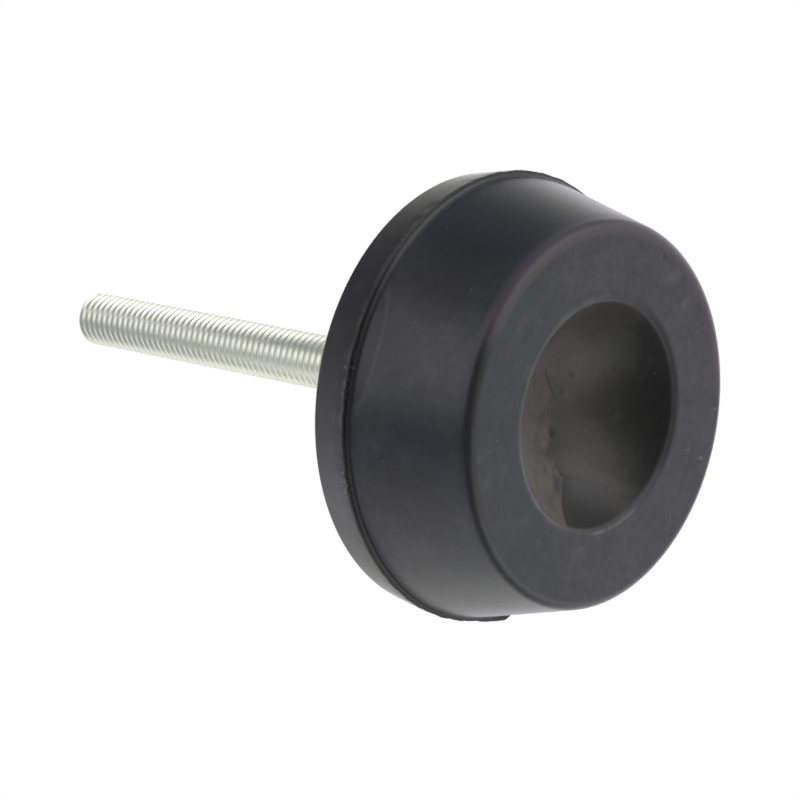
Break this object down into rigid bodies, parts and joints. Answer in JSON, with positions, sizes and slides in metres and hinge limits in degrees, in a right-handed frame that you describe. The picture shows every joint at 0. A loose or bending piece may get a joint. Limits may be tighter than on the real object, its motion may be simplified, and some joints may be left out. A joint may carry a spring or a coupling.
{
  "type": "anti-vibration mount",
  "caption": "Moulded rubber machine foot with a recessed foot face, a bonded steel backing plate and a long threaded stud.",
  "frame": {"origin": "centre of the floor under the mount, which stands on its rubber foot face", "axes": "+Z along the stud, from the foot face to the stud's tip; the foot half of the moulding is offset by 0.8 mm along +Y, and its recess by 0.6 mm"},
  "size_m": [0.08, 0.08, 0.1294],
  "materials": {
    "rubber_body": "satin, as moulded",
    "backing_plate": "zinc plated",
    "stud": "bright zinc plated, rolled thread"
  },
  "bodies": {
    "root": {"rubber_body": "rubber_body", "backing_plate": "backing_plate", "stud": "stud"}
  },
  "joints": []
}
